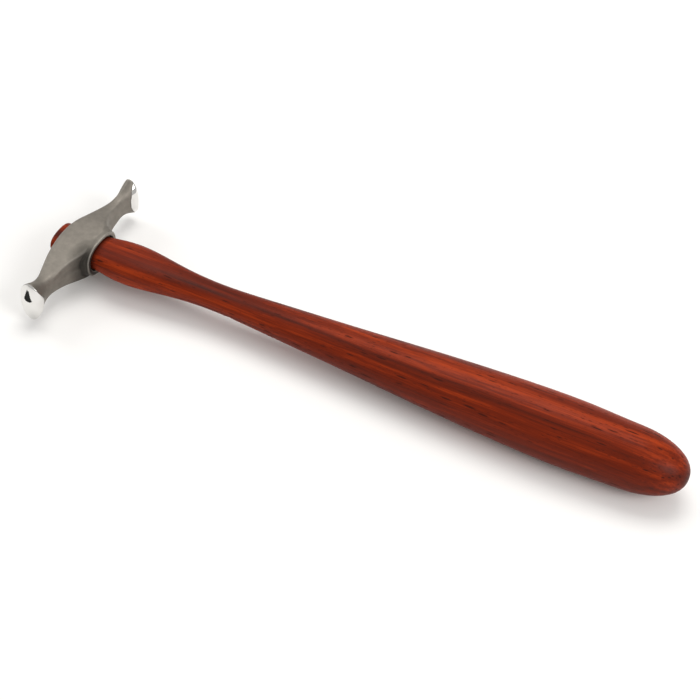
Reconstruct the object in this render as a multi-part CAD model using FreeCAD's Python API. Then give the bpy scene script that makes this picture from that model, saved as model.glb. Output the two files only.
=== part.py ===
import FreeCAD, Part
import math
import os

from FreeCAD import Vector

# A silversmith's raising hammer, in millimetres. It is drawn about the middle of the eye: the handle
# runs along +X to the butt, the two arms of the head along +Y and -Y, and the flat cheeks face +Z and -Z.
# At the end it is moved so that it lies on its side on the bench plane z = 0.

# Head: one steel forging with two different arms. The left arm runs along -Y and the right one along +Y,
# seen from the butt. Each station across an arm is (distance from the middle, reach towards the tenon end,
# reach towards the handle, half height, fullness, tip narrowing). Fullness is the exponent of the section's
# outline: 2 is an ellipse, 9 nearly a rectangle. Tip narrowing is the part of the width that is lost at the
# top and bottom, which makes a face barrel-shaped.
headHalfLength = 34.0
headDrop = 0.3               # the head sits this much below the handle's centre line
headMiddle = (0.0, 6.8, 7.4, 6.7, 9.0, 0.0)
leftArm = [
    (7.0, 6.4, 6.9, 6.6, 9.0, 0.0),
    (12.5, 5.7, 4.7, 5.9, 7.5, 0.0),
    (18.0, 4.6, 3.0, 4.7, 5.5, 0.0),
    (23.0, 3.5, 2.4, 4.0, 4.2, 0.1),
    (27.0, 3.5, 2.6, 4.9, 3.6, 0.3),
    (31.0, 4.8, 4.2, 7.3, 3.0, 0.5),
    (35.0, 5.8, 5.6, 9.2, 2.6, 0.6),
]
rightArm = [
    (7.0, 5.6, 6.0, 6.4, 9.0, 0.0),
    (12.5, 4.2, 3.1, 5.4, 7.5, 0.0),
    (18.0, 3.2, 1.9, 4.3, 5.5, 0.0),
    (23.0, 2.6, 1.9, 3.9, 4.2, 0.1),
    (27.0, 2.7, 2.8, 4.9, 3.6, 0.3),
    (31.0, 3.8, 4.6, 7.3, 3.0, 0.5),
    (35.0, 5.0, 5.8, 9.0, 2.6, 0.6),
]
sectionPoints = 48

# Striking faces: a nose rounded across the head, and crowned over its height.
leftFaceHalfWidth = 4.2
leftFaceShift = -0.5         # the left face stands this much towards the tenon end
leftCrownRadius = 21.0
leftCrownDrop = 1.6          # the highest line of the left crown is this much below the middle
rightFaceHalfWidth = 3.9
rightCrownRadius = 18.0
noseRoundDepth = 3.0         # the rounded tip, from the widest line of the face
polishedDepth = 5.8          # from the tip to the rim of the polish, at half height
leftRimInset = 0.7           # the rim of the polish is this much inside the widest line
rightRimInset = 1.1
noseBulge = 0.2              # share of the inset that is left halfway to the rim
crownSweep = 45.0            # degrees that the ground nose reaches above and below the middle

# Collar: an oval boss round the handle, with a flat end. Its stations are
# (distance from the eye, half width, half height, fullness), and sweep out into the arms.
collarStations = [
    (0.0, 13.5, 6.1, 5.0),
    (3.0, 11.2, 6.3, 4.2),
    (6.0, 9.8, 6.5, 3.2),
]
collarHalfWidth = 9.2
collarHalfHeight = 6.7
collarEnd = 8.4
collarFullness = 2.6
collarEdgeRadius = 0.5

# Eye and tenon: a tapered oval hole that the handle fills.
eyeMouthHalfWidth = 7.0
eyeMouthHalfHeight = 4.8
tenonHalfWidth = 6.6
tenonHalfHeight = 4.2
tenonEnd = -9.8              # stands about 3 mm proud of the head
tenonFullness = 2.4
tenonEdgeRadius = 0.8
mouthReliefWidth = 0.6       # the small gap where the handle goes into the collar
mouthReliefDepth = 1.5

# Wedge: thin hardwood, driven into the saw kerf in the tenon.
wedgeDepth = 15.0
wedgeHalfWidth = 5.7
wedgeThickEnd = 1.8
wedgeThinEnd = 0.4

# Handle: (distance from the eye, half width, half height, fullness) from the collar to the bulb.
handleStations = [
    (8.4, 7.0, 4.8, 2.4),
    (13.5, 7.6, 5.2, 2.6),
    (21.0, 8.2, 5.5, 2.6),
    (30.0, 7.5, 5.2, 2.5),
    (42.0, 5.95, 4.5, 2.3),
    (56.0, 5.35, 4.15, 2.15),
    (75.0, 6.2, 5.0, 2.1),
    (105.0, 8.1, 6.9, 2.0),
    (140.0, 10.4, 9.2, 2.0),
    (170.0, 11.8, 10.7, 2.0),
    (190.0, 11.95, 11.05, 2.0),
    (205.0, 11.3, 10.6, 2.0),
]
buttEnd = 227.0
buttFullness = 2.2                       # above 2, the butt is blunter than an ellipse
easingSteps = (0, 30, 60, 90)            # degrees round an eased edge
buttSteps = (14, 30, 46, 62, 76, 85, 89)  # degrees round the butt's end


def ovalPoint(angle, halfWidth, halfHeight, fullness):
    """Point of a superellipse at the given angle, as (across, up)."""
    c = math.cos(angle)
    s = math.sin(angle)
    across = math.copysign(abs(c) ** (2.0 / fullness), c) * halfWidth
    up = math.copysign(abs(s) ** (2.0 / fullness), s) * halfHeight
    return across, up


def closedCurve(points):
    curve = Part.BSplineCurve()
    curve.interpolate(points, PeriodicFlag=True)
    return Part.Wire(curve.toShape())


def armSection(y, tenonReach, handleReach, halfHeight, fullness, tipNarrowing):
    """Outline of the head in the plane at y."""
    middle = (handleReach - tenonReach) / 2.0
    halfWidth = (handleReach + tenonReach) / 2.0
    points = []
    for i in range(sectionPoints):
        x, z = ovalPoint(2.0 * math.pi * i / sectionPoints, halfWidth, halfHeight, fullness)
        x *= 1.0 - tipNarrowing * (z / halfHeight) ** 2
        points.append(Vector(middle + x, y, z))
    return closedCurve(points)


def handleSection(x, halfWidth, halfHeight, fullness):
    """Outline of the handle, tenon or collar in the plane at x."""
    points = []
    for i in range(sectionPoints):
        y, z = ovalPoint(2.0 * math.pi * i / sectionPoints, halfWidth, halfHeight, fullness)
        points.append(Vector(x, y, z))
    return closedCurve(points)


def armBody():
    """Both arms and the middle as one smooth body, longer than the head by its flared ends."""
    sections = [armSection(-station[0], *station[1:]) for station in reversed(leftArm)]
    sections += [armSection(station[0], *station[1:]) for station in [headMiddle] + rightArm]
    return Part.makeLoft(sections, True)


def noseProfile(halfWidth, rimInset, crownRadius):
    """Outline of what stays at one end: the rounded nose, open towards the middle of the head."""
    widest = headHalfLength - noseRoundDepth
    rim = headHalfLength - polishedDepth
    shoulder = (rim + widest) / 2.0
    pivot = headHalfLength - crownRadius
    reach = 3.0 * halfWidth
    curve = Part.Ellipse(Vector(halfWidth, widest, 0), Vector(0, headHalfLength, 0), Vector(0, widest, 0))
    tip = Part.Arc(curve, 0, math.pi).toShape()
    edges = [tip]
    for way in (-1, 1):
        start = Vector(way * halfWidth, widest, 0)
        middle = Vector(way * (halfWidth - noseBulge * rimInset), shoulder, 0)
        end = Vector(way * (halfWidth - rimInset), rim, 0)
        outside = Vector(way * reach, rim - 1.0, 0)
        back = Vector(way * reach, pivot, 0)
        edges.append(Part.Arc(start, middle, end).toShape())
        edges.append(Part.makeLine(end, outside))
        edges.append(Part.makeLine(outside, back))
    edges.append(Part.makeLine(Vector(-reach, pivot, 0), Vector(reach, pivot, 0)))
    return Part.Face(Part.Wire(Part.__sortEdges__(edges)))


def noseTool(side, halfWidth, rimInset, crownRadius, shift, drop):
    """What is ground away round one striking face: a block less the rounded, crowned nose."""
    pivot = Vector(0, headHalfLength - crownRadius, 0)
    profile = noseProfile(halfWidth, rimInset, crownRadius)
    profile.rotate(pivot, Vector(1, 0, 0), -crownSweep)
    keep = profile.revolve(pivot, Vector(1, 0, 0), 2.0 * crownSweep)
    blockStart = headHalfLength - 1.5 * polishedDepth
    blockLength = 2.5 * polishedDepth
    blockWidth = 5.0 * halfWidth
    blockHeight = 6.0 * halfWidth
    corner = Vector(-blockWidth / 2, blockStart, -blockHeight / 2)
    block = Part.makeBox(blockWidth, blockLength, blockHeight, corner)
    tool = block.cut(keep)
    if side < 0:
        tool = tool.mirror(Vector(0, 0, 0), Vector(0, 1, 0))
    tool.translate(Vector(shift, 0, -drop))
    return tool


def easedEnd(x, inward, halfWidth, halfHeight, fullness, radius):
    """Sections that round over the edge of an oval end at x; inward is +1 or -1, towards the material."""
    sections = []
    for step in easingSteps:
        inset = radius * (1.0 - math.cos(math.radians(step)))
        along = x + inward * radius * (1.0 - math.sin(math.radians(step)))
        sections.append(handleSection(along, halfWidth - inset, halfHeight - inset, fullness))
    return sections


def collar():
    """The boss between the middle of the head and its flat end."""
    sections = [handleSection(*station) for station in collarStations]
    sections += easedEnd(collarEnd, -1, collarHalfWidth, collarHalfHeight, collarFullness, collarEdgeRadius)
    return Part.makeLoft(sections, True)


def tenon():
    """The tapered oval peg that fills the eye, rounded at its proud end."""
    sections = easedEnd(tenonEnd, 1, tenonHalfWidth, tenonHalfHeight, tenonFullness, tenonEdgeRadius)
    sections.reverse()
    sections.append(handleSection(collarEnd, eyeMouthHalfWidth, eyeMouthHalfHeight, tenonFullness))
    return Part.makeLoft(sections, True, True)


def mouthRelief():
    """The small recess in the collar's end, round the handle."""
    start = collarEnd - mouthReliefDepth
    width = eyeMouthHalfWidth + mouthReliefWidth
    height = eyeMouthHalfHeight + mouthReliefWidth
    sections = [handleSection(x, width, height, tenonFullness) for x in (start, collarEnd + 1.0)]
    return Part.makeLoft(sections, True, True)


def wedge():
    """A thin tapered slip, flush with the end of the tenon."""
    end = tenonEnd + wedgeDepth
    corners = [
        Vector(tenonEnd, -wedgeHalfWidth, -wedgeThickEnd / 2),
        Vector(end, -wedgeHalfWidth, -wedgeThinEnd / 2),
        Vector(end, -wedgeHalfWidth, wedgeThinEnd / 2),
        Vector(tenonEnd, -wedgeHalfWidth, wedgeThickEnd / 2),
    ]
    return Part.Face(Part.makePolygon(corners + corners[:1])).extrude(Vector(0, 2 * wedgeHalfWidth, 0))


def grip():
    """The handle outside the head: waist, swell and rounded butt."""
    sections = [handleSection(*station) for station in handleStations]
    start, halfWidth, halfHeight, fullness = handleStations[-1]
    for step in buttSteps:
        scale, reach = ovalPoint(math.radians(step), 1.0, buttEnd - start, buttFullness)
        along = start + reach
        sections.append(handleSection(along, halfWidth * scale, halfHeight * scale, fullness))
    return Part.makeLoft(sections, True)


def head():
    right = noseTool(1, rightFaceHalfWidth, rightRimInset, rightCrownRadius, 0.0, 0.0)
    left = noseTool(-1, leftFaceHalfWidth, leftRimInset, leftCrownRadius, leftFaceShift, leftCrownDrop)
    body = armBody().cut([right, left])
    body = body.fuse(collar())
    body.translate(Vector(0, 0, -headDrop))
    return body.cut([tenon(), mouthRelief()])


def handle():
    return tenon().fuse(grip()).cut(wedge())


def placed(shape):
    """Moves a piece from the eye's middle to the bench: middle of the length, lowest point at z = 0."""
    lowest = max(station[2] for station in handleStations)
    shape = shape.copy()
    shape.translate(Vector(-(buttEnd + tenonEnd) / 2.0, 0, lowest))
    return shape


def single(shape):
    """The one solid of a shape, checked."""
    solids = shape.Solids
    if len(solids) != 1 or not solids[0].isValid():
        raise ValueError("expected one valid solid, got %d" % len(solids))
    return solids[0]


os.makedirs("parts", exist_ok=True)
pieces = {"head": head, "handle": handle, "wedge": wedge}
for name, make in pieces.items():
    solid = placed(single(make()))
    solid.exportStep("parts/" + name + ".step")
    print(name, "%.1f mm3" % solid.Volume, solid.BoundBox)
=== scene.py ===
import bpy
import math
import numpy as np

from mathutils import Matrix, Vector


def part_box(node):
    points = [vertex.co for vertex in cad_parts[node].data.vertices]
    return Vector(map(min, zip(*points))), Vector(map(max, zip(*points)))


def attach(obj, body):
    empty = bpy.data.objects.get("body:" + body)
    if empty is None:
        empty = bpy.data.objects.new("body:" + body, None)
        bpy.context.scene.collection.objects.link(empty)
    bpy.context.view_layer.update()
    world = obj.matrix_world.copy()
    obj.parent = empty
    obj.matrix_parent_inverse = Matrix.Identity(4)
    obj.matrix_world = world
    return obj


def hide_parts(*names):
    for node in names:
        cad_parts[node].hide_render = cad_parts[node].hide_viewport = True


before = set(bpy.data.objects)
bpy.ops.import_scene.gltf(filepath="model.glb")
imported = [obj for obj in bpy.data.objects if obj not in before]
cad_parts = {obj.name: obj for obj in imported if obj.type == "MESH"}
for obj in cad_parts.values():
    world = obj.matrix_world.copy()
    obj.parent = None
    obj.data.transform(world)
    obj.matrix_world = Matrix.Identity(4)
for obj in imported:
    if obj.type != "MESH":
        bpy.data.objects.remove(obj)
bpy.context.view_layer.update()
print("hammer: frame loaded, pieces", sorted(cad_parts))

mm = 0.001
layerTurn = 38.5                    # degrees that the wood's growth layers are turned from upright

# Camera and studio. Places and sizes are in millimetres.
studio = {
    "cameraPlace": (125.6, -302.1, 357.4),
    "cameraAim": (-1.1, -0.6, 11.05),
    "cameraRoll": 4.1,              # degrees
    "cameraLens": 72.0,
    "floorColour": (0.93, 0.925, 0.915),
    "floorSize": 6000.0,
    "skyColour": (1.0, 0.99, 0.975),
    "skyStrength": 0.54,
    # name, place, aim, width, height, watts, colour
    "softBoxes": [
        ("softBoxOverhead", (-120, 330, 880), (0, 0, 0), 620, 520, 3.9, (1.0, 0.985, 0.96)),
        ("softBoxRight", (620, -160, 480), (20, 0, 0), 380, 380, 2.6, (1.0, 0.99, 0.98)),
        ("softBoxLeft", (-700, 120, 420), (-60, 0, 0), 300, 300, 1.0, (0.98, 0.99, 1.0)),
    ],
    # dark strips on the floor that only the bright metal mirrors: name, place, turn, width, length
    "flags": [
        ("flagLeftFace", (-132, -80, 0.3), -116.0, 23, 68),
    ],
}


# Matrix of something at place that looks at aim.
def aimed(place, aim, roll=0.0):
    place, aim = Vector(place) * mm, Vector(aim) * mm
    turn = (aim - place).to_track_quat("-Z", "Y").to_matrix().to_4x4()
    return Matrix.Translation(place) @ turn @ Matrix.Rotation(math.radians(roll), 4, "Z")


def makeCamera():
    data = bpy.data.cameras.new("productCamera")
    data.lens = studio["cameraLens"]
    data.sensor_width = 36.0
    data.clip_start = 0.01
    data.clip_end = 20.0
    camera = bpy.data.objects.new("productCamera", data)
    bpy.context.scene.collection.objects.link(camera)
    camera.matrix_world = aimed(studio["cameraPlace"], studio["cameraAim"], studio["cameraRoll"])
    bpy.context.scene.camera = camera


def makeLights():
    for name, place, aim, width, height, watts, colour in studio["softBoxes"]:
        data = bpy.data.lights.new(name, "AREA")
        data.shape = "RECTANGLE"
        data.size = width * mm
        data.size_y = height * mm
        data.energy = watts
        data.color = colour
        light = bpy.data.objects.new(name, data)
        bpy.context.scene.collection.objects.link(light)
        light.matrix_world = aimed(place, aim)
    world = bpy.data.worlds.new("studioTent")
    world.use_nodes = True
    background = world.node_tree.nodes["Background"]
    background.inputs["Color"].default_value = (*studio["skyColour"], 1.0)
    background.inputs["Strength"].default_value = studio["skyStrength"]
    bpy.context.scene.world = world


# A flat four-cornered sheet for the floor and the flags, which are not part of the hammer.
def plate(name, width, height):
    w, h = width * mm / 2, height * mm / 2
    mesh = bpy.data.meshes.new(name)
    mesh.from_pydata([(-w, -h, 0), (w, -h, 0), (w, h, 0), (-w, h, 0)], [], [(0, 1, 2, 3)])
    sheet = bpy.data.objects.new(name, mesh)
    bpy.context.scene.collection.objects.link(sheet)
    return sheet


def plainMaterial(name, colour, roughness):
    material = bpy.data.materials.new(name)
    material.use_nodes = True
    shader = material.node_tree.nodes["Principled BSDF"]
    shader.inputs["Base Color"].default_value = (*colour, 1.0)
    shader.inputs["Roughness"].default_value = roughness
    return material


def makeFloor():
    floor = plate("studioFloor", studio["floorSize"], studio["floorSize"])
    floor.data.materials.append(plainMaterial("paleSweep", studio["floorColour"], 0.9))
    dark = plainMaterial("blackFlag", (0.004, 0.004, 0.004), 1.0)
    for name, place, turn, width, length in studio["flags"]:
        flag = plate(name, length, width)
        spin = Matrix.Rotation(math.radians(turn), 4, "Z")
        flag.matrix_world = Matrix.Translation(Vector(place) * mm) @ spin
        flag.data.materials.append(dark)
        flag.visible_camera = False
        flag.visible_diffuse = False
        flag.visible_shadow = False


def colourManagement():
    view = bpy.context.scene.view_settings
    view.view_transform = "Standard"
    view.look = "None"
    view.exposure = 0.0
    view.gamma = 1.0


# Short hand for building one node tree.
class Nodes:
    def __init__(self, tree):
        self.tree = tree

    def add(self, kind, **settings):
        node = self.tree.nodes.new(kind)
        for key, value in settings.items():
            setattr(node, key, value)
        return node

    # feeds a socket with another socket's output, or sets it to a plain value
    def put(self, value, socket):
        if isinstance(value, bpy.types.NodeSocket):
            self.tree.links.new(value, socket)
        elif value is not None:
            socket.default_value = value

    def math(self, operation, a, b=None, c=None, clamp=False):
        node = self.add("ShaderNodeMath", operation=operation, use_clamp=clamp)
        for i, value in enumerate((a, b, c)):
            self.put(value, node.inputs[i])
        return node.outputs[0]

    def stretch(self, vector, scale, turn=(0, 0, 0), shift=(0, 0, 0)):
        node = self.add("ShaderNodeMapping")
        self.put(vector, node.inputs["Vector"])
        self.put(scale, node.inputs["Scale"])
        node.inputs["Rotation"].default_value = [math.radians(t) for t in turn]
        node.inputs["Location"].default_value = shift
        return node.outputs[0]

    def noise(self, vector, scale=1.0, detail=2.0, roughness=0.5, distortion=0.0):
        node = self.add("ShaderNodeTexNoise")
        self.put(vector, node.inputs["Vector"])
        self.put(scale, node.inputs["Scale"])
        node.inputs["Detail"].default_value = detail
        node.inputs["Roughness"].default_value = roughness
        node.inputs["Distortion"].default_value = distortion
        return node.outputs[0]

    def cells(self, vector):
        node = self.add("ShaderNodeTexVoronoi", feature="F1")
        self.put(vector, node.inputs["Vector"])
        node.inputs["Scale"].default_value = 1.0
        return node.outputs["Distance"]

    def fit(self, value, low, high, toLow=0.0, toHigh=1.0, smooth=False):
        node = self.add("ShaderNodeMapRange", interpolation_type="SMOOTHSTEP" if smooth else "LINEAR")
        for i, item in enumerate((value, low, high, toLow, toHigh)):
            self.put(item, node.inputs[i])
        return node.outputs[0]

    # mixes two colours
    def blend(self, factor, a, b, mode="MIX"):
        node = self.add("ShaderNodeMix", data_type="RGBA", blend_type=mode)
        self.put(factor, node.inputs[0])
        self.put(a, node.inputs[6])
        self.put(b, node.inputs[7])
        return node.outputs[2]

    # a colour made lighter or darker by a value
    def shaded(self, colour, shade):
        grey = self.add("ShaderNodeCombineColor")
        for i in range(3):
            self.put(shade, grey.inputs[i])
        return self.blend(1.0, colour, grey.outputs[0], "MULTIPLY")

    # a bump from a height, its size in millimetres
    def bump(self, height, strength, size, shader):
        node = self.add("ShaderNodeBump")
        node.inputs["Strength"].default_value = strength
        node.inputs["Distance"].default_value = size * mm
        self.put(height, node.inputs["Height"])
        self.put(node.outputs[0], shader.inputs["Normal"])


# An empty shader node group with named sockets, with its helper, input and output nodes.
def nodeGroup(name, inputs, outputs):
    tree = bpy.data.node_groups.new(name, "ShaderNodeTree")
    for label, kind, value in inputs:
        socket = tree.interface.new_socket(name=label, in_out="INPUT", socket_type=kind)
        if value is not None:
            socket.default_value = value
    for label, kind in outputs:
        tree.interface.new_socket(name=label, in_out="OUTPUT", socket_type=kind)
    nodes = Nodes(tree)
    return tree, nodes, nodes.add("NodeGroupInput"), nodes.add("NodeGroupOutput")


def placeGroup(nodes, tree, **values):
    node = nodes.add("ShaderNodeGroup", node_tree=tree)
    for label, value in values.items():
        nodes.put(value, node.inputs[label])
    return node


# Place on the hammer, in millimetres.
def millimetres(nodes):
    place = nodes.add("ShaderNodeTexCoord").outputs["Object"]
    return nodes.stretch(place, (1000, 1000, 1000))


# Long-grained wood: straight growth layers, dark streaks, open pores as short dashes, fine fibre.
def makeWoodGrain():
    floatKind, colourKind, vectorKind = "NodeSocketFloat", "NodeSocketColor", "NodeSocketVector"
    tree, nodes, given, out = nodeGroup(
        "woodGrain",
        [
            ("Place", vectorKind, None),
            ("Dark", colourKind, (0.05, 0.01, 0.006, 1)),
            ("Middle", colourKind, (0.2, 0.03, 0.01, 1)),
            ("Light", colourKind, (0.4, 0.06, 0.02, 1)),
            ("Band", floatKind, 0.0),
            ("Streaks", floatKind, 1.0),
            ("Pores", floatKind, 1.0),
        ],
        [("Colour", colourKind), ("Pore Mask", floatKind), ("Fibre", floatKind), ("Height", floatKind)],
    )
    place = given.outputs["Place"]
    wander = nodes.noise(nodes.stretch(place, (0.012, 0.03, 0.03)), 1.0, 1.0)
    offset = nodes.add("ShaderNodeCombineXYZ")
    nodes.put(nodes.fit(wander, 0.3, 0.7, -0.8, 0.8), offset.inputs[1])
    moved = nodes.add("ShaderNodeVectorMath", operation="ADD")
    nodes.put(place, moved.inputs[0])
    nodes.put(offset.outputs[0], moved.inputs[1])
    layered = nodes.stretch(moved.outputs[0], (1, 1, 1), turn=(-layerTurn, 0, 0))
    broad = nodes.noise(nodes.stretch(layered, (0.009, 0.34, 0.12)), 1.0, 2.0, 0.55)
    medium = nodes.noise(nodes.stretch(layered, (0.016, 1.1, 0.5)), 1.0, 3.0, 0.6)
    fine = nodes.noise(nodes.stretch(layered, (0.035, 4.0, 2.2)), 1.0, 3.0, 0.6)
    fibre = nodes.noise(nodes.stretch(place, (0.15, 9.0, 9.0)), 1.0, 2.0, 0.6)
    tone = nodes.math("MULTIPLY", broad, 0.36)
    tone = nodes.math("MULTIPLY_ADD", medium, 0.38, tone)
    tone = nodes.math("MULTIPLY_ADD", fine, 0.26, tone)
    tone = nodes.fit(tone, 0.38, 0.62)
    tone = nodes.math("SUBTRACT", tone, 0.5)
    tone = nodes.math("MULTIPLY", tone, given.outputs["Streaks"])
    tone = nodes.math("ADD", tone, 0.62)
    # this input darkens the wood: on the handle it carries the dark band, the darker top of the waist and
    # painted shade on the lower near side
    tone = nodes.math("SUBTRACT", tone, given.outputs["Band"], clamp=True)
    low = nodes.blend(nodes.fit(tone, 0.0, 0.5), given.outputs["Dark"], given.outputs["Middle"])
    colour = nodes.blend(nodes.fit(tone, 0.5, 1.0), low, given.outputs["Light"])
    shade = nodes.fit(fibre, 0.3, 0.7, 0.88, 1.10)
    colour = nodes.shaded(colour, shade)
    # small pores everywhere, and longer open ones crowded into some layers
    crowd = nodes.noise(nodes.stretch(layered, (0.02, 0.45, 0.25)), 1.0, 2.0)
    smallSize = nodes.fit(crowd, 0.35, 0.65, 0.12, 0.30)
    small = nodes.cells(nodes.stretch(place, (0.30, 1.5, 1.5)))
    small = nodes.fit(nodes.math("DIVIDE", small, smallSize), 0.5, 1.0, 1.0, 0.0, smooth=True)
    longSize = nodes.fit(crowd, 0.40, 0.60, 0.06, 0.32)
    long = nodes.cells(nodes.stretch(place, (0.11, 0.72, 0.72), shift=(3.0, 1.0, 5.0)))
    long = nodes.fit(nodes.math("DIVIDE", long, longSize), 0.45, 1.0, 1.0, 0.0, smooth=True)
    pore = nodes.math("MAXIMUM", nodes.math("MULTIPLY", small, 0.7), long)
    pore = nodes.math("MULTIPLY", pore, given.outputs["Pores"], clamp=True)
    colour = nodes.blend(nodes.math("MULTIPLY", pore, 0.9), colour, given.outputs["Dark"])
    height = nodes.math("SUBTRACT", nodes.math("MULTIPLY", fibre, 0.35), pore)
    nodes.put(colour, out.inputs["Colour"])
    nodes.put(pore, out.inputs["Pore Mask"])
    nodes.put(fibre, out.inputs["Fibre"])
    nodes.put(height, out.inputs["Height"])
    return tree


# Faint smudges and hairline scratches from use, on metal and on the oiled wood.
def makeHandling():
    floatKind = "NodeSocketFloat"
    tree, nodes, given, out = nodeGroup(
        "handlingMarks",
        [("Place", "NodeSocketVector", None), ("Scratches", floatKind, 0.5), ("Smudges", floatKind, 0.5)],
        [("Smudge", floatKind), ("Scratch", floatKind)],
    )
    place = given.outputs["Place"]
    smudge = nodes.noise(place, 0.16, 3.0, 0.55, 0.6)
    smudge = nodes.math("MULTIPLY", nodes.fit(smudge, 0.42, 0.72), given.outputs["Smudges"])
    lines = nodes.noise(nodes.stretch(place, (9.0, 0.25, 5.0), turn=(0, 0, 17)), 1.0, 1.0)
    crossing = nodes.noise(nodes.stretch(place, (0.3, 8.0, 6.0), turn=(0, 12, -24)), 1.0, 1.0)
    scratch = nodes.math("MAXIMUM", nodes.fit(lines, 0.66, 0.72), nodes.fit(crossing, 0.68, 0.74))
    scratch = nodes.math("MULTIPLY", scratch, given.outputs["Scratches"])
    nodes.put(smudge, out.inputs["Smudge"])
    nodes.put(scratch, out.inputs["Scratch"])
    return tree


colourManagement()
makeCamera()
makeLights()
makeFloor()
print("hammer: camera, lights and floor ready")

woodGrain = makeWoodGrain()
handlingMarks = makeHandling()
print("hammer: shared effects ready")


def newMaterial(name):
    material = bpy.data.materials.new(name)
    material.use_nodes = True
    nodes = Nodes(material.node_tree)
    shader = material.node_tree.nodes["Principled BSDF"]
    return material, nodes, shader


# Handle: oiled reddish hardwood with a dark layer along it, end grain that drinks more oil, painted shade
# on its lower near side and a painted shadow where it enters the collar.
handleLook = {
    "dark": (0.050, 0.007, 0.003),
    "middle": (0.155, 0.014, 0.002),
    "light": (0.375, 0.040, 0.005),
    "bandPlace": 0.3,          # mm from the middle, across the growth layers
    "bandWidth": 2.6,
    "bandDepth": 0.36,
    "shadedSideDepth": 0.22,        # painted shade: how much darker the lower near side is, under the band, towards the butt
    "waistPlace": -48.0,       # middle of a darker cloud on the top of the waist
    "waistDepth": 0.30,
    "axisHeight": 11.05,
    "collarEnd": -100.2,
    "mouthShadowDepth": 0.8,         # painted shadow where the wood enters the collar
    "endGrain": 0.7,
    "roughness": 0.46,
    "poreRoughness": 0.75,
    "specular": 0.10,
    "coat": 0.02,
    "coatRoughness": 0.22,
    "streaks": 0.62,
    "pores": 1.0,
    "bump": 0.25,
    "bumpSize": 0.08,          # mm
}


def handleMaterial():
    look = handleLook
    material, nodes, shader = newMaterial("oiledRedHardwood")
    place = millimetres(nodes)
    split = nodes.add("ShaderNodeSeparateXYZ")
    nodes.put(place, split.inputs[0])
    turn = math.radians(layerTurn)
    up = nodes.math("SUBTRACT", split.outputs[2], look["axisHeight"])
    across = nodes.math("MULTIPLY", split.outputs[1], math.cos(turn))
    across = nodes.math("MULTIPLY_ADD", up, math.sin(turn), across)
    sway = nodes.noise(nodes.stretch(place, (0.014, 0.02, 0.02)), 1.0, 1.0)
    across = nodes.math("ADD", across, nodes.fit(sway, 0.3, 0.7, -0.9, 0.9))
    away = nodes.math("ABSOLUTE", nodes.math("SUBTRACT", across, look["bandPlace"]))
    band = nodes.fit(away, 0.0, look["bandWidth"], look["bandDepth"], 0.0, smooth=True)
    along = split.outputs[0]
    # painted shade: the lower near side of the handle, away from the overhead light, is darkened, more
    # towards the butt; the cloud added to it is the wood's own darker top of the waist
    shadedSideAndCloud = nodes.fit(across, 0.0, -6.0, 0.0, look["shadedSideDepth"])
    shadedSideAndCloud = nodes.math("MULTIPLY", shadedSideAndCloud, nodes.fit(along, -50.0, 30.0, 0.1, 1.0))
    cloud = nodes.math("ABSOLUTE", nodes.math("SUBTRACT", along, look["waistPlace"]))
    cloud = nodes.fit(cloud, 12.0, 48.0, look["waistDepth"], 0.0, smooth=True)
    shadedSideAndCloud = nodes.math("ADD", shadedSideAndCloud, nodes.math("MULTIPLY", cloud, nodes.fit(across, -0.8, 2.0)))
    grain = placeGroup(
        nodes, woodGrain, Place=place, Dark=(*look["dark"], 1), Middle=(*look["middle"], 1),
        Light=(*look["light"], 1), Band=nodes.math("ADD", band, shadedSideAndCloud), Streaks=look["streaks"],
        Pores=look["pores"],
    )
    marks = placeGroup(nodes, handlingMarks, Place=place, Scratches=0.15, Smudges=0.6)
    facing = nodes.add("ShaderNodeSeparateXYZ")
    nodes.put(nodes.add("ShaderNodeTexCoord").outputs["Normal"], facing.inputs[0])
    ends = nodes.fit(nodes.math("ABSOLUTE", facing.outputs[0]), 0.55, 1.0, 0.0, look["endGrain"])
    # painted shadow: the wood darkens over the last 1.8 mm before the collar and on into the eye
    mouthShadow = nodes.fit(along, look["collarEnd"] + 1.8, look["collarEnd"], 0.0, look["mouthShadowDepth"])
    inside = nodes.fit(along, look["collarEnd"] - 9.0, look["collarEnd"] - 8.0, 0.0, 1.0)
    # end grain darkening, which the wood really has, together with the painted shadow at the collar
    darker = nodes.math("MAXIMUM", ends, nodes.math("MULTIPLY", mouthShadow, inside))
    colour = nodes.blend(darker, grain.outputs["Colour"], (*look["dark"], 1))
    nodes.put(colour, shader.inputs["Base Color"])
    dryness = look["poreRoughness"] - look["roughness"]
    rough = nodes.math("MULTIPLY_ADD", grain.outputs["Pore Mask"], dryness, look["roughness"])
    rough = nodes.math("MULTIPLY_ADD", marks.outputs["Smudge"], -0.08, rough)
    nodes.put(rough, shader.inputs["Roughness"])
    shader.inputs["Coat Weight"].default_value = look["coat"]
    shader.inputs["Coat Roughness"].default_value = look["coatRoughness"]
    shader.inputs["Specular IOR Level"].default_value = look["specular"]
    nodes.bump(grain.outputs["Height"], look["bump"], look["bumpSize"], shader)
    return material


# Wedge: a pale close-grained hardwood.
wedgeLook = {
    "dark": (0.16, 0.085, 0.035),
    "middle": (0.42, 0.26, 0.12),
    "light": (0.58, 0.40, 0.21),
    "roughness": 0.62,
    "streaks": 0.7,
    "pores": 0.35,
    "bump": 0.3,
    "bumpSize": 0.06,          # mm
}


def wedgeMaterial():
    look = wedgeLook
    material, nodes, shader = newMaterial("paleHardwood")
    place = millimetres(nodes)
    grain = placeGroup(
        nodes, woodGrain, Place=place, Dark=(*look["dark"], 1), Middle=(*look["middle"], 1),
        Light=(*look["light"], 1), Band=0.0, Streaks=look["streaks"], Pores=look["pores"],
    )
    nodes.put(grain.outputs["Colour"], shader.inputs["Base Color"])
    rough = nodes.math("MULTIPLY_ADD", grain.outputs["Fibre"], 0.15, look["roughness"] - 0.07)
    nodes.put(rough, shader.inputs["Roughness"])
    nodes.bump(grain.outputs["Height"], look["bump"], look["bumpSize"], shader)
    return material
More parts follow.
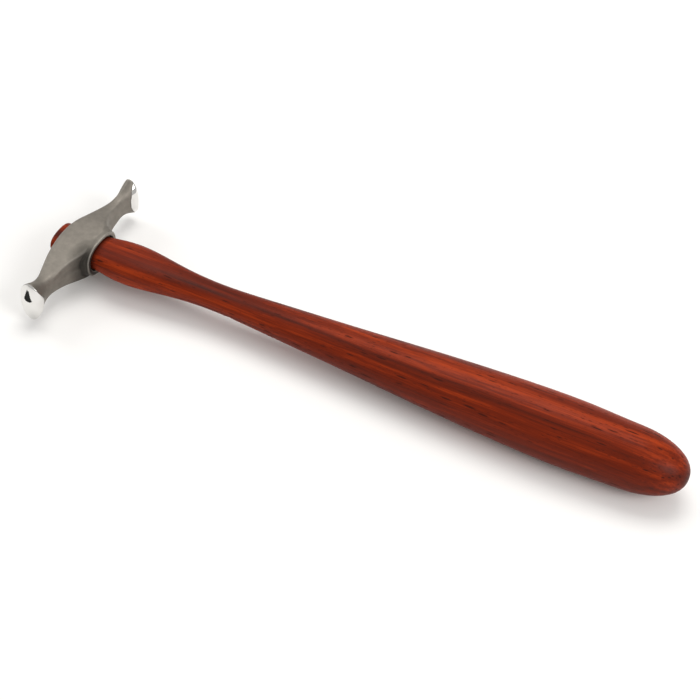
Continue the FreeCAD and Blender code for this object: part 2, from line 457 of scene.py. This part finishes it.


# Head: satin blasted steel, with the two striking ends polished bright, painted shade in the corners by
# the collar and a painted shade line round the polish. Sizes in millimetres.
headLook = {
    "skin": 0.2,               # size of the even skin's quads
    "softening": 7,            # rounds of smoothing: more gives softer edges
    "wearRounds": 12,          # further rounds that find the worn edges
    "hollowRounds": 110,       # and the hollow corners
    "rimShadeRounds": 3,            # width of the painted shade line round the polish, in quads
    "eyeFromTenonEnd": 9.8,
    "headDrop": 0.3,
    "halfLength": 34.0,
    "noseDepth": 3.0,
    "polishDepth": 5.8,
    # half width, shift along the handle, crown radius, drop of the crown, rim inset
    "leftFace": (4.2, -0.5, 21.0, 1.6, 0.7),
    "rightFace": (3.9, 0.0, 18.0, 0.0, 1.1),
    # polish on the right end: how far back it starts at half height, and how far its tips draw in
    "rightPolish": (27.8, 6.6),
    "rightHalfHeight": 9.0,
    "satinColour": (0.275, 0.250, 0.218),
    "satinDark": (0.235, 0.215, 0.187),
    "edgeColour": (0.42, 0.395, 0.355),
    "hollowShadeDepth": 0.80,       # painted shade: how much darker the steel is in the corners by the collar
    # a painted shade spot in the corner between the left arm and the collar: its middle and its reach
    "cornerShadeMiddle": (8.2, -8.8),
    "cornerShadeReach": 7.0,
    "satinRoughness": 0.58,
    "grainSize": 9.0,          # specks per millimetre
    "grainBump": 0.22,
    "grainBumpSize": 0.03,     # mm
    "polishColour": (0.78, 0.77, 0.75),
    "smudgeColour": (0.71, 0.70, 0.68),
    # colour of the painted shade line round the polish
    "rimShadeColour": (0.12, 0.115, 0.105),
    "polishRoughness": 0.045,
}


def readPoints(mesh):
    points = np.zeros(len(mesh.vertices) * 3)
    mesh.vertices.foreach_get("co", points)
    return points.reshape(-1, 3)


# Each round moves every point halfway to the middle of its neighbours.
def smoothed(points, edges, rounds):
    count = len(points)
    first, second = edges[:, 0], edges[:, 1]
    neighbours = np.bincount(first, minlength=count) + np.bincount(second, minlength=count)
    for _ in range(rounds):
        middle = np.zeros_like(points)
        for axis in range(3):
            middle[:, axis] = np.bincount(first, points[second, axis], count)
            middle[:, axis] += np.bincount(second, points[first, axis], count)
        points = 0.5 * points + 0.5 * middle / neighbours[:, None]
    return points


# How far out each point is on the polished nose of its own end: 1 is on the ground surface. On the
# right end the polish instead ends at a curve that draws in towards the top and bottom tips.
def noseFit(points, eye):
    look = headLook
    rel = (points - eye) / mm
    left = rel[:, 1] < 0
    halfWidth, shift, crown, drop, inset = (
        np.where(left, look["leftFace"][i], look["rightFace"][i]) for i in range(5)
    )
    radius = np.hypot(np.abs(rel[:, 1]) - (look["halfLength"] - crown), rel[:, 2] + drop)
    widest = crown - look["noseDepth"]
    rim = crown - look["polishDepth"]
    across = (rel[:, 0] - shift) / halfWidth
    beyond = np.maximum(radius - widest, 0.0) / look["noseDepth"]
    tip = np.sqrt(across ** 2 + beyond ** 2)
    back = np.clip((widest - radius) / (widest - rim), 0.0, 1.0)
    side = np.abs(across) / (1.0 - inset / halfWidth * back ** 2.3)
    fit = np.where(radius > widest, tip, side)
    fit[(radius < rim) | (np.abs(rel[:, 1]) < look["halfLength"] - look["polishDepth"] - 1.0)] = 0.0
    start, tips = look["rightPolish"]
    lens = 0.965 + (rel[:, 1] - start - tips * (rel[:, 2] / look["rightHalfHeight"]) ** 2) / 10.0
    return np.where(left, fit, np.clip(lens, 0.0, 1.0))


def addValues(mesh, name, values):
    layer = mesh.attributes.new(name, "FLOAT", "POINT")
    layer.data.foreach_set("value", values.astype(np.float32))


# How far each point stands out of its softened surroundings, along its normal, in millimetres.
def standingOut(mesh, points, softer):
    normals = np.zeros(len(points) * 3)
    mesh.vertices.foreach_get("normal", normals)
    return np.einsum("ij,ij->i", points - softer, normals.reshape(-1, 3)) / mm


# The head as one even, soft-edged skin over the forging, with its wear, its polish and its painted shade
# marked on it.
def makeHead():
    look = headLook
    boxLow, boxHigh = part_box("handle")
    height = (boxLow.z + boxHigh.z) / 2 - look["headDrop"] * mm
    eye = np.array((boxLow.x + look["eyeFromTenonEnd"] * mm, 0.0, height))
    draft = bpy.data.objects.new("headDraft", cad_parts["head"].data.copy())
    bpy.context.scene.collection.objects.link(draft)
    skin = draft.modifiers.new("evenSkin", "REMESH")
    skin.mode = "VOXEL"
    skin.voxel_size = look["skin"] * mm
    bpy.context.view_layer.update()
    mesh = bpy.data.meshes.new_from_object(draft.evaluated_get(bpy.context.evaluated_depsgraph_get()))
    bpy.data.objects.remove(draft)
    edges = np.zeros(len(mesh.edges) * 2, int)
    mesh.edges.foreach_get("vertices", edges)
    edges = edges.reshape(-1, 2)
    points = smoothed(readPoints(mesh), edges, look["softening"])
    mesh.vertices.foreach_set("co", points.ravel())
    mesh.update()
    softer = smoothed(points, edges, look["wearRounds"])
    addValues(mesh, "edgeWear", np.clip(standingOut(mesh, points, softer) / 0.05, -1.0, 1.0))
    # painted shade: how far each point sinks into its much softer surroundings, so the corners by the
    # collar come out darker
    softest = smoothed(softer, edges, look["hollowRounds"])
    hollowShade = np.clip(-standingOut(mesh, points, softest) / 0.20, 0.0, 1.0)
    rel = (points - eye) / mm
    middle = look["cornerShadeMiddle"]
    corner = np.hypot(rel[:, 0] - middle[0], (rel[:, 1] - middle[1]) * 0.8)
    # a painted shade spot, darkest at its middle in the corner between the left arm and the collar
    scale = 1.0 - np.clip(corner / look["cornerShadeReach"], 0.0, 1.0) ** 1.5
    addValues(mesh, "hollowShade", np.clip(0.5 * hollowShade + scale, 0.0, 1.0))
    polish = np.clip((noseFit(points, eye) - 0.955) / 0.02, 0.0, 1.0)
    addValues(mesh, "polish", polish)
    # the painted shade line: a few quads just outside the polish
    spread = polish.copy()
    for _ in range(look["rimShadeRounds"]):
        spread[edges[:, 0]] = np.maximum(spread[edges[:, 0]], spread[edges[:, 1]])
        spread[edges[:, 1]] = np.maximum(spread[edges[:, 1]], spread[edges[:, 0]])
    addValues(mesh, "rim", np.clip(spread - polish, 0.0, 1.0))
    for face in mesh.polygons:
        face.use_smooth = True
    mesh.materials.clear()
    mesh.materials.append(steelMaterial())
    head = bpy.data.objects.new("forgedHead", mesh)
    bpy.context.scene.collection.objects.link(head)
    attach(head, "root")
    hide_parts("head")
    print("hammer: head skin has", len(mesh.vertices), "points")


def steelMaterial():
    look = headLook
    material, nodes, shader = newMaterial("satinAndPolishedSteel")
    place = millimetres(nodes)
    wear = nodes.add("ShaderNodeAttribute", attribute_name="edgeWear").outputs["Fac"]
    hollowShade = nodes.add("ShaderNodeAttribute", attribute_name="hollowShade").outputs["Fac"]
    polish = nodes.add("ShaderNodeAttribute", attribute_name="polish").outputs["Fac"]
    rim = nodes.add("ShaderNodeAttribute", attribute_name="rim").outputs["Fac"]
    cloud = nodes.noise(place, 0.45, 3.0, 0.55)
    speck = nodes.noise(place, look["grainSize"], 2.0, 0.6)
    marks = placeGroup(nodes, handlingMarks, Place=place, Scratches=0.35, Smudges=0.5)
    satin = nodes.blend(nodes.fit(cloud, 0.35, 0.65), (*look["satinDark"], 1), (*look["satinColour"], 1))
    shade = nodes.fit(speck, 0.25, 0.75, 0.90, 1.08)
    # painted shade darkens the satin steel in the corners by the collar
    shade = nodes.math("MULTIPLY", shade, nodes.fit(hollowShade, 0.0, 1.0, 1.0, 1.0 - look["hollowShadeDepth"]))
    satin = nodes.shaded(satin, shade)
    satin = nodes.blend(nodes.fit(wear, 0.35, 1.0, 0.0, 0.40), satin, (*look["edgeColour"], 1))
    # painted shade: the dark line just outside the polish
    satin = nodes.blend(nodes.math("MULTIPLY", rim, 0.7), satin, (*look["rimShadeColour"], 1))
    bright = nodes.blend(marks.outputs["Smudge"], (*look["polishColour"], 1),
                         (*look["smudgeColour"], 1))
    nodes.put(nodes.blend(polish, satin, bright), shader.inputs["Base Color"])
    shader.inputs["Metallic"].default_value = 1.0
    rough = nodes.fit(speck, 0.3, 0.7, look["satinRoughness"] - 0.05, look["satinRoughness"] + 0.07)
    rough = nodes.math("MULTIPLY_ADD", marks.outputs["Smudge"], -0.06, rough)
    rough = nodes.math("MULTIPLY_ADD", nodes.fit(wear, 0.3, 1.0), -0.06, rough)
    mirror = nodes.math("MULTIPLY_ADD", marks.outputs["Smudge"], 0.04, look["polishRoughness"])
    mirror = nodes.math("MULTIPLY_ADD", marks.outputs["Scratch"], 0.10, mirror)
    nodes.put(nodes.fit(polish, 0.0, 1.0, rough, mirror), shader.inputs["Roughness"])
    height = nodes.math("SUBTRACT", speck, marks.outputs["Scratch"])
    height = nodes.math("MULTIPLY", height, nodes.math("SUBTRACT", 1.0, polish))
    nodes.bump(height, look["grainBump"], look["grainBumpSize"], shader)
    return material


# A new finish on a piece that keeps its own shape.
def dressNode(node, material):
    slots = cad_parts[node].data.materials
    slots.clear()
    slots.append(material)


makeHead()
dressNode("handle", handleMaterial())
dressNode("wedge", wedgeMaterial())
print("hammer: materials placed")

print("hammer: done")
